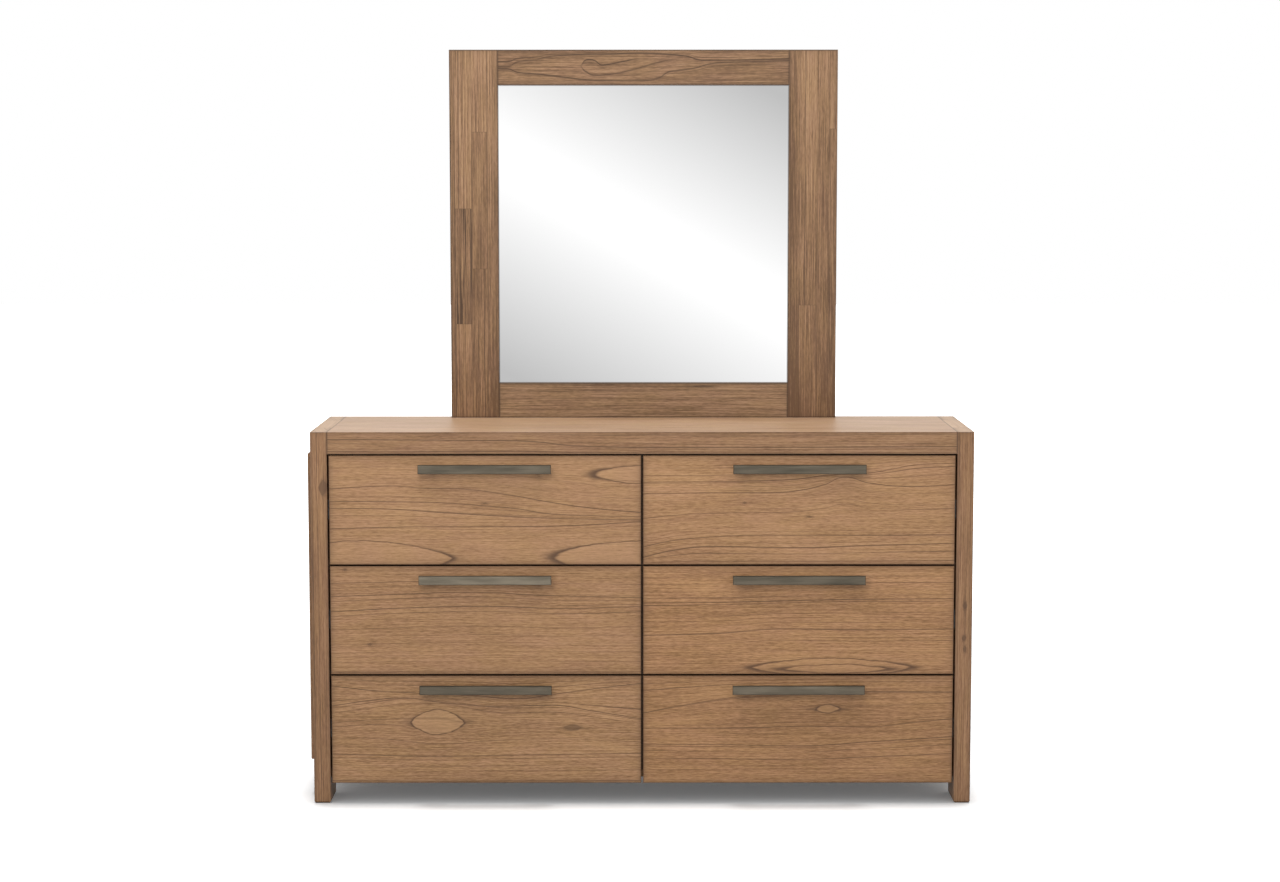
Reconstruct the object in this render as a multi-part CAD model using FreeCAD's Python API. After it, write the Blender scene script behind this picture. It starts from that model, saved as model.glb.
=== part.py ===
import FreeCAD, Part
import os

# A dresser with six drawers and a framed mirror that stands on its top.
# Millimetres. +Z is up, the front faces -Y, and the origin lies on the floor
# at the middle of the whole footprint.

# ---------------------------------------------------------------- case
case_width = 1600
case_depth = 420
case_height = 910
case_floor_gap = 60
post_face = 40
post_depth = 110
post_foot_chamfer = 4
post_arris = 1
top_thickness = 25
front_rail_height = 53
side_rail_upper_height = 79
side_rail_lower_height = 48
end_panel_thickness = 10
end_panel_recess = 12
end_panel_tongue = 10
bottom_thickness = 18
bottom_housing = 8
top_tongue_length = 8
top_tongue_thickness = 8
top_tongue_setback = 12
divider_thickness = 18
stretcher_thickness = 20
stretcher_depth = 60
rear_rail_height = 100
rear_rail_thickness = 20
back_thickness = 6
back_housing = 8

# The raised board on the left side laps the frame round the end panel.
side_board_thickness = 18
side_board_lap = 19
side_board_arris = 2

# Mortise and tenon joints of the case.
side_tenon_length = 30
side_tenon_thickness = 12
side_tenon_shoulder = 15
front_tenon_length = 20
front_tenon_thickness = 10
front_tenon_shoulder = 12
front_tenon_upper_shoulder = 6
stretcher_post_tenon = 10
stretcher_divider_tenon = 6
stretcher_tenon_thickness = 10
stretcher_tenon_shoulder = 10
rear_tenon_length = 20
rear_tenon_thickness = 10
rear_tenon_shoulder = 15
joint_clearance = 0.1
groove_end_clearance = 0.5

# ---------------------------------------------------------------- drawers
row_names = ("lower", "middle", "upper")
column_names = ("left", "right")
column_sides = {"left": -1, "right": 1}
front_thickness = 20
front_side_gap = 4.5
front_centre_gap = 5
front_row_gap = 4
front_drop = 10
front_arris = 1.2
box_top_clearance = 10
box_bottom_clearance = 4
box_rear_clearance = 24
box_wall = 12
base_thickness = 6
base_above_box_edge = 10
base_groove_depth = 6
base_groove_clearance = 0.3
tail_count = 4
half_pin_lower = 22
half_pin_upper = 12
pin_narrow = 12
pin_flare = 2

# ---------------------------------------------------------------- handles
handle_length = 320
handle_height = 22
handle_bar_thickness = 8
handle_reach = 28
handle_bevel = 1.5
handle_foot_spacing = 256
handle_foot_width = 12
handle_foot_height = 14
handle_top_below_front_edge = 20

# ---------------------------------------------------------------- runners
runner_setback = 0.3
runner_thickness = 12.7
runner_above_box_edge = 100
runner_sheet = 1.2
runner_outer_height = 45
runner_outer_depth = 10
runner_ball = 4
runner_lip = 2
runner_middle_start = 3
runner_middle_depth = 8
runner_inner_tip_clearance = 1.3
cage_clearance = 0.3
cage_length = 150
cage_end_setback = 8

# ---------------------------------------------------------------- mirror
mirror_width = 980
mirror_height = 930
mirror_thickness = 38
mirror_shift = 4
stile_width = 122
rail_height = 88
frame_arris = 1.5
glass_lip = 12
glass_rebate = 10
glass_edge_clearance = 1.5
glass_thickness = 4
backing_thickness = 6
frame_tenon_length = 60
frame_tenon_thickness = 12
frame_tenon_shoulder = 16

support_width = 60
support_thickness = 18
support_above_top = 620
support_below_top = 110
support_end_chamfer = 6
support_screw_radius = 2.5
support_screw_head_radius = 5
support_screw_head_height = 3
support_screw_grip = 14
support_screw_below_top_panel = 15
support_screw_end_margin = 40
support_screw_pitch = 30
support_screw_clearance = 0.1

# ---------------------------------------------------------------- derived places
case_mid_x = side_board_thickness / 2
overall_depth = handle_reach + case_depth + support_thickness + support_screw_head_height
case_front = handle_reach - overall_depth / 2
case_rear = case_front + case_depth
inner_half_width = case_width / 2 - post_face
side_frame_front = case_front + post_depth
side_frame_rear = case_rear - post_depth

top_underside = case_height - top_thickness
front_rail_underside = case_height - front_rail_height
front_rail_rear = case_front + top_thickness
bottom_top_face = case_floor_gap + bottom_thickness
back_rear_face = case_rear - rear_rail_thickness
back_front_face = back_rear_face - back_thickness
upper_side_rail_underside = case_height - side_rail_upper_height
lower_side_rail_top = case_floor_gap + side_rail_lower_height

row_count = len(row_names)
fronts_low = case_floor_gap - front_drop
fronts_high = front_rail_underside - front_row_gap
front_height = (fronts_high - fronts_low - (row_count - 1) * front_row_gap) / row_count
row_pitch = front_height + front_row_gap
front_width = inner_half_width - front_side_gap - front_centre_gap / 2

box_above_front_edge = front_drop + bottom_thickness + box_bottom_clearance
stretcher_below_front_edge = (stretcher_thickness - front_row_gap) / 2
box_height = front_height - stretcher_below_front_edge - box_top_clearance - box_above_front_edge

bay_half_gap = divider_thickness / 2
bay_width = inner_half_width - bay_half_gap
box_width = bay_width - 2 * runner_thickness
box_front = case_front + front_thickness
box_rear = back_front_face - box_rear_clearance
box_inner_width = box_width - 2 * box_wall
runner_length = box_rear - box_front
runner_front = box_front + runner_setback
runner_rear = runner_front + runner_length
outer_half = runner_outer_height / 2
middle_half = outer_half - runner_sheet - runner_ball
inner_half = middle_half - runner_sheet - runner_ball
middle_tip = runner_middle_start + runner_middle_depth
inner_tip = runner_middle_start + runner_sheet + runner_inner_tip_clearance

mirror_mid_x = case_mid_x + mirror_shift
mirror_front = case_rear - mirror_thickness
mirror_foot = case_height
mirror_top = mirror_foot + mirror_height
mirror_opening_half = mirror_width / 2 - stile_width
mirror_opening_low = mirror_foot + rail_height
mirror_opening_high = mirror_top - rail_height
glass_front = mirror_front + glass_lip
support_mid_offset = mirror_opening_half + stile_width / 2

# How far a cutting solid reaches past the face it starts from, and how near counts as the same place.
cut_over = 5
same_place = 0.001


# ---------------------------------------------------------------- helpers
def vector(x, y, z):
    return FreeCAD.Vector(x, y, z)


def board(x_span, y_span, z_span):
    """A square-edged board between two values on each axis."""
    corner = vector(min(x_span), min(y_span), min(z_span))
    length = abs(x_span[1] - x_span[0])
    width = abs(y_span[1] - y_span[0])
    height = abs(z_span[1] - z_span[0])
    return Part.makeBox(length, width, height, corner)


def grown(span, amount):
    """The same span, longer by amount at both ends."""
    return (min(span) - amount, max(span) + amount)


def around(middle, size):
    """The span of this size about a middle."""
    return (middle - size / 2, middle + size / 2)


def prism(points, direction):
    """A closed outline pushed along a direction."""
    wire = Part.makePolygon(points + [points[0]])
    return Part.Face(wire).extrude(direction)


def rod(start, direction, radius, length):
    return Part.makeCylinder(radius, length, start, direction)


def edges_where(shape, test):
    """The edges whose two ends both pass a test."""
    return [edge for edge in shape.Edges if all(test(end.Point) for end in edge.Vertexes)]


def near(value, target):
    return abs(value - target) < same_place


def save(name, pieces):
    """Write the solids of one node to its own file."""
    solids = [solid for piece in pieces for solid in piece.Solids]
    shape = solids[0] if len(solids) == 1 else Part.makeCompound(solids)
    shape.exportStep(os.path.join("parts", name + ".step"))


def side_x(side, distance):
    """The x that lies this far from the case's middle, to the left (-1) or right (1)."""
    return case_mid_x + side * distance


# ---------------------------------------------------------------- places that several pieces share
def row_low(row):
    """Lower edge of a drawer front, counted from the lowest row."""
    return fronts_low + row * row_pitch


def stretcher_middle(row):
    """Height of the stretcher over a row, behind the gap between two fronts."""
    return row_low(row) + front_height + front_row_gap / 2


def bay_middle(side):
    return side_x(side, bay_half_gap + bay_width / 2)


def front_middle(side):
    return side_x(side, front_centre_gap / 2 + front_width / 2)


def side_frame_span(side):
    """The x span of the posts and side rails of one side."""
    return (side_x(side, inner_half_width), side_x(side, case_width / 2))


# ---------------------------------------------------------------- tenons, with and without clearance
def side_rail_tenons(side, z_span, clearance):
    """Both tenons of a side rail, or with clearance the mortises for them."""
    middle_x = side_x(side, case_width / 2 - post_face / 2)
    x_span = grown(around(middle_x, side_tenon_thickness), clearance)
    z_inner = (z_span[0] + side_tenon_shoulder, z_span[1] - side_tenon_shoulder)
    front = (side_frame_front - side_tenon_length, side_frame_front)
    rear = (side_frame_rear, side_frame_rear + side_tenon_length)
    return [board(x_span, grown(span, clearance), grown(z_inner, clearance)) for span in (front, rear)]


def front_rail_tenon(side, clearance):
    x_span = (side_x(side, inner_half_width), side_x(side, inner_half_width + front_tenon_length))
    y_span = around(case_front + top_thickness / 2, front_tenon_thickness)
    z_span = (front_rail_underside + front_tenon_shoulder, top_underside - front_tenon_upper_shoulder)
    return board(grown(x_span, clearance), grown(y_span, clearance), grown(z_span, clearance))


def rear_rail_tenon(side, clearance):
    x_span = (side_x(side, inner_half_width), side_x(side, inner_half_width + rear_tenon_length))
    y_span = around(case_rear - rear_rail_thickness / 2, rear_tenon_thickness)
    z_span = (top_underside - rear_rail_height + rear_tenon_shoulder, top_underside - rear_tenon_shoulder)
    return board(grown(x_span, clearance), grown(y_span, clearance), grown(z_span, clearance))


def stretcher_tenons(side, row, clearance):
    """The tenon into the post and the one into the divider."""
    y_span = (
        front_rail_rear + stretcher_tenon_shoulder,
        front_rail_rear + stretcher_depth - stretcher_tenon_shoulder,
    )
    z_span = around(stretcher_middle(row), stretcher_tenon_thickness)
    into_post = (side_x(side, inner_half_width), side_x(side, inner_half_width + stretcher_post_tenon))
    into_divider = (side_x(side, bay_half_gap), side_x(side, bay_half_gap - stretcher_divider_tenon))
    return [
        board(grown(x_span, clearance), grown(y_span, clearance), grown(z_span, clearance))
        for x_span in (into_post, into_divider)
    ]


# ---------------------------------------------------------------- case pieces
def end_panel_span(side):
    """The x span of the end panel, set back from the outer face of the posts."""
    outer = case_width / 2 - end_panel_recess
    return (side_x(side, outer), side_x(side, outer - end_panel_thickness))


def end_panel(side, clearance=0):
    """The panel in its grooves, or with clearance the grooves themselves."""
    reach = end_panel_tongue - groove_end_clearance + clearance
    y_span = (side_frame_front - reach, side_frame_rear + reach)
    z_span = (lower_side_rail_top - reach, upper_side_rail_underside + reach)
    return board(end_panel_span(side), y_span, z_span)


def bottom_panel():
    reach = inner_half_width + bottom_housing
    x_span = (side_x(-1, reach), side_x(1, reach))
    return board(x_span, (front_rail_rear, back_front_face), (case_floor_gap, bottom_top_face))


def back_panel():
    reach = inner_half_width + back_housing
    x_span = (side_x(-1, reach), side_x(1, reach))
    return board(x_span, (back_front_face, back_rear_face), (case_floor_gap, top_underside))


def top_tongue(side, clearance):
    """The tongue along one end of the top, or with clearance its groove."""
    x_span = (side_x(side, inner_half_width), side_x(side, inner_half_width + top_tongue_length))
    y_span = (front_rail_rear + top_tongue_setback, case_rear - top_tongue_setback)
    z_span = around(case_height - top_thickness / 2, top_tongue_thickness)
    return board(grown(x_span, clearance), grown(y_span, clearance), grown(z_span, clearance))


def top_panel():
    """The top runs between the side frames, and its front edge is mitred to the front rail."""
    left = side_x(-1, inner_half_width)
    outline = [
        vector(left, case_front, case_height),
        vector(left, front_rail_rear, top_underside),
        vector(left, case_rear, top_underside),
        vector(left, case_rear, case_height),
    ]
    panel = prism(outline, vector(2 * inner_half_width, 0, 0))
    return panel.fuse([top_tongue(side, 0) for side in (-1, 1)]).removeSplitter()


def front_top_rail():
    left = side_x(-1, inner_half_width)
    outline = [
        vector(left, case_front, front_rail_underside),
        vector(left, front_rail_rear, front_rail_underside),
        vector(left, front_rail_rear, top_underside),
        vector(left, case_front, case_height),
    ]
    rail = prism(outline, vector(2 * inner_half_width, 0, 0))
    return rail.fuse([front_rail_tenon(side, 0) for side in (-1, 1)]).removeSplitter()


def rear_top_rail():
    x_span = (side_x(-1, inner_half_width), side_x(1, inner_half_width))
    rail = board(x_span, (back_rear_face, case_rear), (top_underside - rear_rail_height, top_underside))
    rail = rail.fuse([rear_rail_tenon(side, 0) for side in (-1, 1)]).removeSplitter()
    screws = [screw for side in (-1, 1) for screw in support_screws(side, support_screw_clearance)]
    return rail.cut(screws)


def side_rail(side, z_span):
    y_span = (side_frame_front, side_frame_rear)
    rail = board(side_frame_span(side), y_span, z_span)
    rail = rail.fuse(side_rail_tenons(side, z_span, 0)).removeSplitter()
    cutters = [end_panel(side, groove_end_clearance), bottom_panel(), top_tongue(side, joint_clearance)]
    return rail.cut(cutters)


def upper_side_rail(side):
    return side_rail(side, (upper_side_rail_underside, case_height))


def lower_side_rail(side):
    return side_rail(side, (case_floor_gap, lower_side_rail_top))


def post_blank(side, front):
    """A square-cut post with its foot chamfered all round."""
    y_span = (case_front, side_frame_front) if front else (side_frame_rear, case_rear)
    post = board(side_frame_span(side), y_span, (0, case_height))
    foot = edges_where(post, lambda point: near(point.z, 0))
    post = post.makeChamfer(post_foot_chamfer, foot)
    outer_x = side_x(side, case_width / 2)
    outer_y = case_front if front else case_rear
    corner = edges_where(post, lambda point: near(point.x, outer_x) and near(point.y, outer_y))
    return post.makeChamfer(post_arris, corner)


def post_joints(side, front):
    """Everything that is cut out of a post for the pieces it holds."""
    cutters = side_rail_tenons(side, (upper_side_rail_underside, case_height), joint_clearance)
    cutters += side_rail_tenons(side, (case_floor_gap, lower_side_rail_top), joint_clearance)
    cutters += [end_panel(side, groove_end_clearance), bottom_panel(), top_tongue(side, joint_clearance)]
    if not front:
        return cutters + [back_panel(), rear_rail_tenon(side, joint_clearance)]
    cutters.append(front_rail_tenon(side, joint_clearance))
    for row in range(row_count - 1):
        cutters += stretcher_tenons(side, row, joint_clearance)
    return cutters


def post(side, front):
    return post_blank(side, front).cut(post_joints(side, front))


def side_board():
    """The board that stands proud of the left side and laps its frame all round."""
    outer = side_x(-1, case_width / 2 + side_board_thickness)
    y_span = (side_frame_front - side_board_lap, side_frame_rear + side_board_lap)
    z_span = (lower_side_rail_top - side_board_lap, upper_side_rail_underside + side_board_lap)
    panel = board((outer, side_x(-1, case_width / 2)), y_span, z_span)
    rim = edges_where(panel, lambda point: near(point.x, outer))
    return panel.makeChamfer(side_board_arris, rim)


def centre_divider():
    x_span = (side_x(-1, bay_half_gap), side_x(1, bay_half_gap))
    panel = board(x_span, (front_rail_rear, back_front_face), (bottom_top_face, top_underside))
    cutters = []
    for side in (-1, 1):
        for row in range(row_count - 1):
            cutters += stretcher_tenons(side, row, joint_clearance)
    return panel.cut(cutters)


def row_stretcher(side, row):
    x_span = (side_x(side, bay_half_gap), side_x(side, inner_half_width))
    y_span = (front_rail_rear, front_rail_rear + stretcher_depth)
    rail = board(x_span, y_span, around(stretcher_middle(row), stretcher_thickness))
    return rail.fuse(stretcher_tenons(side, row, 0)).removeSplitter()


# ---------------------------------------------------------------- runners
def runner_point(face_x, toward, y, middle_z, across, up):
    """A point of a runner's section: across from the case's face towards the drawer."""
    return vector(face_x + toward * across, y, middle_z + up)


def runner_section(face_x, toward, middle_z, y_span, upper):
    """A runner piece whose section is symmetric about its middle height, from its upper half."""
    lower = [(across, -up) for across, up in reversed(upper)]
    points = [runner_point(face_x, toward, y_span[0], middle_z, across, up) for across, up in upper + lower]
    return prism(points, vector(0, y_span[1] - y_span[0], 0))


def channel(face_x, toward, middle_z, web, tip, half_height, lip):
    """A sheet channel: its web at one depth, its flanges reaching to another, its lips turned in."""
    inward = 1 if tip > web else -1
    flange_inside = half_height - runner_sheet
    upper = [(web, half_height), (tip, half_height)]
    if lip > 0:
        lip_start = tip - inward * runner_sheet
        lip_end = flange_inside - lip
        upper += [(tip, lip_end), (lip_start, lip_end), (lip_start, flange_inside)]
    else:
        upper += [(tip, flange_inside)]
    upper += [(web + inward * runner_sheet, flange_inside)]
    return runner_section(face_x, toward, middle_z, (runner_front, runner_rear), upper)


def runner_faces(side):
    """The two faces of a bay that carry runners, each with the way towards the drawer."""
    return ((side_x(side, inner_half_width), -side), (side_x(side, bay_half_gap), side))


def runner_middle_height(row):
    return row_low(row) + box_above_front_edge + runner_above_box_edge


def outer_member(face_x, toward, middle_z):
    return channel(face_x, toward, middle_z, 0, runner_outer_depth, outer_half, runner_lip)


def middle_member(face_x, toward, middle_z):
    return channel(face_x, toward, middle_z, runner_middle_start, middle_tip, middle_half, runner_lip)


def inner_member(face_x, toward, middle_z):
    return channel(face_x, toward, middle_z, runner_thickness, inner_tip, inner_half, 0)


def ball_cage(face_x, toward, middle_z, y_span, web_span, tip, track_half):
    """A cage whose flanges fill the ball track between two members."""
    flange_high = track_half - cage_clearance
    flange_low = track_half - runner_ball + cage_clearance
    web_low, web_high = web_span
    upper = [(web_low, flange_high), (tip, flange_high), (tip, flange_low), (web_high, flange_low)]
    return runner_section(face_x, toward, middle_z, y_span, upper)


def rear_cage(face_x, toward, middle_z):
    """Between the outer and the middle member, at the rear so that it stays in the outer one."""
    rear = runner_rear - cage_end_setback
    web_span = (runner_sheet + cage_clearance, runner_middle_start - cage_clearance)
    tip = runner_outer_depth - runner_sheet - cage_clearance
    track_half = outer_half - runner_sheet
    return ball_cage(face_x, toward, middle_z, (rear - cage_length, rear), web_span, tip, track_half)


def front_cage(face_x, toward, middle_z):
    """Between the middle and the inner member, at the front so that it stays in the inner one."""
    front = runner_front + cage_end_setback
    web_span = (runner_middle_start + runner_sheet + cage_clearance, inner_tip - cage_clearance)
    tip = middle_tip - runner_sheet - cage_clearance
    track_half = middle_half - runner_sheet
    return ball_cage(face_x, toward, middle_z, (front, front + cage_length), web_span, tip, track_half)


# ---------------------------------------------------------------- drawer boxes
def pin_spans():
    """The z spans of the pins on the inner face of the box, measured from the box's lower edge."""
    tails_height = box_height - half_pin_lower - half_pin_upper
    pin_inner = pin_narrow + 2 * pin_flare
    tail_height = (tails_height - (tail_count - 1) * pin_inner) / tail_count
    spans = []
    for index in range(tail_count - 1):
        low = half_pin_lower + tail_height + index * (tail_height + pin_inner)
        spans.append((low, low + pin_inner))
    return spans


def pin_outlines():
    """Each pin as (outer low, outer high, inner low, inner high) heights in the box."""
    outlines = [(0, half_pin_lower - pin_flare, 0, half_pin_lower)]
    for low, high in pin_spans():
        outlines.append((low + pin_flare, high - pin_flare, low, high))
    upper_low = box_height - half_pin_upper
    outlines.append((upper_low + pin_flare, box_height, upper_low, box_height))
    return outlines


def pins(x_span, outer_y, inner_y, box_low, clearance):
    """Dovetail pins of one corner, narrow at the outer face; less clearance, the pins themselves."""
    solids = []
    for outer_low, outer_high, inner_low, inner_high in pin_outlines():
        low_gap = clearance if inner_low > 0 else 0
        high_gap = clearance if inner_high < box_height else 0
        outline = [
            vector(min(x_span), outer_y, box_low + outer_low + low_gap),
            vector(min(x_span), inner_y, box_low + inner_low + low_gap),
            vector(min(x_span), inner_y, box_low + inner_high - high_gap),
            vector(min(x_span), outer_y, box_low + outer_high - high_gap),
        ]
        solids.append(prism(outline, vector(abs(x_span[1] - x_span[0]), 0, 0)))
    return solids


def base_reach(clearance):
    """How far the base stands in its grooves on each side."""
    return base_groove_depth - groove_end_clearance + clearance


def drawer_base(side, row, clearance=0):
    """The drawer's base in its grooves, or with clearance the grooves themselves."""
    reach = base_reach(clearance)
    x_span = grown(around(bay_middle(side), box_inner_width), reach)
    y_span = grown((box_front + box_wall, box_rear - box_wall), reach)
    low = row_low(row) + box_above_front_edge + base_above_box_edge
    height = base_thickness + (base_groove_clearance if clearance else 0)
    return board(x_span, y_span, (low, low + height))


def box_side(side, row, hand):
    """A drawer side: a board with dovetail sockets at both ends and the groove for the base."""
    low = row_low(row) + box_above_front_edge
    middle = bay_middle(side)
    x_span = (middle + hand * box_inner_width / 2, middle + hand * box_width / 2)
    blank = board(x_span, (box_front, box_rear), (low, low + box_height))
    sockets = pins(x_span, box_front, box_front + box_wall, low, 0)
    sockets += pins(x_span, box_rear, box_rear - box_wall, low, 0)
    return blank.cut(sockets + [drawer_base(side, row, groove_end_clearance)])


def box_end(side, row, outer_y, inner_y):
    """The inner front or the back of a drawer box, with its pins at both ends."""
    low = row_low(row) + box_above_front_edge
    middle = bay_middle(side)
    half_inner = box_inner_width / 2
    blank = board(around(middle, box_inner_width), (outer_y, inner_y), (low, low + box_height))
    pieces = []
    for hand in (-1, 1):
        x_span = (middle + hand * half_inner, middle + hand * (half_inner + box_wall))
        pieces += pins(x_span, outer_y, inner_y, low, joint_clearance)
    return blank.fuse(pieces).removeSplitter().cut(drawer_base(side, row, groove_end_clearance))


def drawer_box(side, row):
    inner_front = box_end(side, row, box_front, box_front + box_wall)
    back = box_end(side, row, box_rear, box_rear - box_wall)
    return [box_side(side, row, -1), box_side(side, row, 1), inner_front, back]


def drawer_front(side, row):
    x_span = around(front_middle(side), front_width)
    panel = board(x_span, (case_front, box_front), (row_low(row), row_low(row) + front_height))
    rim = edges_where(panel, lambda point: near(point.y, case_front))
    return panel.makeChamfer(front_arris, rim)


def handle(side, row):
    """A flat bevelled bar on two feet that stand on the drawer front."""
    middle = front_middle(side)
    height = row_low(row) + front_height - handle_top_below_front_edge - handle_height / 2
    bar_front = case_front - handle_reach
    bar_rear = bar_front + handle_bar_thickness
    bar = board(around(middle, handle_length), (bar_front, bar_rear), around(height, handle_height))
    rim = edges_where(bar, lambda point: near(point.y, bar_front))
    bar = bar.makeChamfer(handle_bevel, rim)
    feet = []
    for hand in (-1, 1):
        foot_x = around(middle + hand * handle_foot_spacing / 2, handle_foot_width)
        feet.append(board(foot_x, (bar_rear, case_front), around(height, handle_foot_height)))
    return bar.fuse(feet).removeSplitter()


# ---------------------------------------------------------------- mirror
def rail_tenon(side, z_span, clearance):
    """The tenon of a mirror rail into a stile, or with clearance its mortise."""
    x_span = (
        mirror_mid_x + side * mirror_opening_half,
        mirror_mid_x + side * (mirror_opening_half + frame_tenon_length),
    )
    y_middle = mirror_front + mirror_thickness / 2
    y_span = around(y_middle, frame_tenon_thickness)
    z_inner = (z_span[0] + frame_tenon_shoulder, z_span[1] - frame_tenon_shoulder)
    return board(grown(x_span, clearance), grown(y_span, clearance), grown(z_inner, clearance))


top_rail_span = (mirror_opening_high, mirror_top)
bottom_rail_span = (mirror_foot, mirror_opening_low)


def glass_rebate_space():
    """The rebate round the opening, open to the rear, for the glass and the backing board."""
    x_span = grown(around(mirror_mid_x, 2 * mirror_opening_half), glass_rebate)
    z_span = grown((mirror_opening_low, mirror_opening_high), glass_rebate)
    return board(x_span, (glass_front, case_rear + cut_over), z_span)


def mirror_stile(side):
    inner_x = mirror_mid_x + side * mirror_opening_half
    outer_x = inner_x + side * stile_width
    blank = board((inner_x, outer_x), (mirror_front, case_rear), (mirror_foot, mirror_top))
    edge = edges_where(blank, lambda point: near(point.x, outer_x) and near(point.y, mirror_front))
    stile = blank.makeChamfer(frame_arris, edge)
    cutters = [rail_tenon(side, span, joint_clearance) for span in (top_rail_span, bottom_rail_span)]
    cutters += support_screws(side, support_screw_clearance)
    return stile.cut(cutters + [glass_rebate_space()])


def mirror_rail(z_span):
    blank = board(around(mirror_mid_x, 2 * mirror_opening_half), (mirror_front, case_rear), z_span)
    rail = blank.fuse([rail_tenon(side, z_span, 0) for side in (-1, 1)]).removeSplitter()
    return rail.cut(glass_rebate_space())


def rebated_sheet(y_low, thickness):
    """A sheet that lies in the rebate of the mirror frame."""
    reach = glass_rebate - glass_edge_clearance
    x_span = grown(around(mirror_mid_x, 2 * mirror_opening_half), reach)
    z_span = grown((mirror_opening_low, mirror_opening_high), reach)
    return board(x_span, (y_low, y_low + thickness), z_span)


def mirror_glass():
    return rebated_sheet(glass_front, glass_thickness)


def mirror_backing():
    return rebated_sheet(glass_front + glass_thickness, backing_thickness)


# ---------------------------------------------------------------- mirror supports
def support_middle(side):
    return mirror_mid_x + side * support_mid_offset


def support_screw_heights():
    """Two screws into the rear rail and two into the stile."""
    in_rail = top_underside - support_screw_below_top_panel
    in_stile = case_height + support_above_top - support_screw_end_margin
    return (in_rail - support_screw_pitch, in_rail, in_stile - support_screw_pitch, in_stile)


def support_screw(middle_x, middle_z, clearance=0):
    """A pan-head screw driven from the rear; with clearance, the hole for it."""
    seat = vector(middle_x, case_rear + support_thickness, middle_z)
    reach = support_thickness + support_screw_grip + clearance
    shank = rod(seat, vector(0, -1, 0), support_screw_radius + clearance, reach)
    head = rod(seat, vector(0, 1, 0), support_screw_head_radius, support_screw_head_height)
    return shank.fuse(head)


def support_screws(side, clearance=0):
    return [support_screw(support_middle(side), z, clearance) for z in support_screw_heights()]


def mirror_support(side):
    """A batten down the back of a stile and over the rear rail."""
    x_span = around(support_middle(side), support_width)
    z_span = (case_height - support_below_top, case_height + support_above_top)
    rear = case_rear + support_thickness
    batten = board(x_span, (case_rear, rear), z_span)
    ends = []
    for end_z in z_span:
        ends += edges_where(batten, lambda point: near(point.y, rear) and near(point.z, end_z))
    return batten.makeChamfer(support_end_chamfer, ends).cut(support_screws(side, support_screw_clearance))


# ---------------------------------------------------------------- the whole dresser
def build_case():
    save("post_front_left", [post(-1, True)])
    save("post_front_right", [post(1, True)])
    save("post_rear_left", [post(-1, False)])
    save("post_rear_right", [post(1, False)])
    save("side_rails_upper", [upper_side_rail(side) for side in (-1, 1)])
    save("side_rails_lower", [lower_side_rail(side) for side in (-1, 1)])
    save("end_panels", [end_panel(side) for side in (-1, 1)])
    save("side_board_left", [side_board()])
    save("top_panel", [top_panel()])
    save("front_top_rail", [front_top_rail()])
    save("bottom_panel", [bottom_panel()])
    save("centre_divider", [centre_divider()])
    rows_with_stretcher = range(row_count - 1)
    save("row_stretchers", [row_stretcher(side, row) for side in (-1, 1) for row in rows_with_stretcher])
    save("rear_top_rail", [rear_top_rail()])
    save("back_panel", [back_panel()])


def build_mirror():
    save("mirror_stile_left", [mirror_stile(-1)])
    save("mirror_stile_right", [mirror_stile(1)])
    save("mirror_rail_top", [mirror_rail(top_rail_span)])
    save("mirror_rail_bottom", [mirror_rail(bottom_rail_span)])
    save("mirror_glass", [mirror_glass()])
    save("mirror_backing_board", [mirror_backing()])
    save("mirror_supports", [mirror_support(side) for side in (-1, 1)])
    save("mirror_support_screws", [screw for side in (-1, 1) for screw in support_screws(side)])


def build_drawers():
    outer_members = []
    for row, row_name in enumerate(row_names):
        height = runner_middle_height(row)
        for column in column_names:
            side = column_sides[column]
            faces = runner_faces(side)
            name = "drawer_" + row_name + "_" + column + "_"
            middle_set = []
            for face_x, toward in faces:
                outer_members.append(outer_member(face_x, toward, height))
                middle_set.append(middle_member(face_x, toward, height))
                middle_set.append(rear_cage(face_x, toward, height))
                middle_set.append(front_cage(face_x, toward, height))
            save(name + "front", [drawer_front(side, row)])
            save(name + "box", drawer_box(side, row))
            save(name + "base", [drawer_base(side, row)])
            save(name + "handle", [handle(side, row)])
            save(name + "runner_inner", [inner_member(face_x, toward, height) for face_x, toward in faces])
            save(name + "runner_middle", middle_set)
    save("runner_outer_members", outer_members)


os.makedirs("parts", exist_ok=True)
build_case()
build_mirror()
build_drawers()
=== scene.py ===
import math

import bmesh
import bpy
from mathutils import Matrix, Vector


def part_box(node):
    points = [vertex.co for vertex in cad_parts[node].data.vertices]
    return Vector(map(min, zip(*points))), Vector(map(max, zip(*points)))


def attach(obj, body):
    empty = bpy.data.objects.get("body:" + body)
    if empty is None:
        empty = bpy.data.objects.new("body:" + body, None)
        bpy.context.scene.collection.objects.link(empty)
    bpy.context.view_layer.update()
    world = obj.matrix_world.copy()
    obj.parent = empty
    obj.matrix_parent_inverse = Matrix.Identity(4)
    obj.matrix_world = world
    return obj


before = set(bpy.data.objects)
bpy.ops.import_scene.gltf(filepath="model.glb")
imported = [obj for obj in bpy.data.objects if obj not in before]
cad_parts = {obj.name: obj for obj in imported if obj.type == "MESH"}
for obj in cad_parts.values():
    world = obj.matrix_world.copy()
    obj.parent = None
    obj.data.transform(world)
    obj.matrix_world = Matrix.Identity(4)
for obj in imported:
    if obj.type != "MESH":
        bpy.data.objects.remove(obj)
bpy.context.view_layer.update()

# A dresser with six drawers and a framed mirror. Metres, +Z up, the fronts face -Y.

# -------------------- sizes
drawer_names = [f"drawer_{row}_{column}" for row in ("upper", "middle", "lower")
                for column in ("left", "right")]
front_posts = ("post_front_left", "post_front_right")

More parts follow.
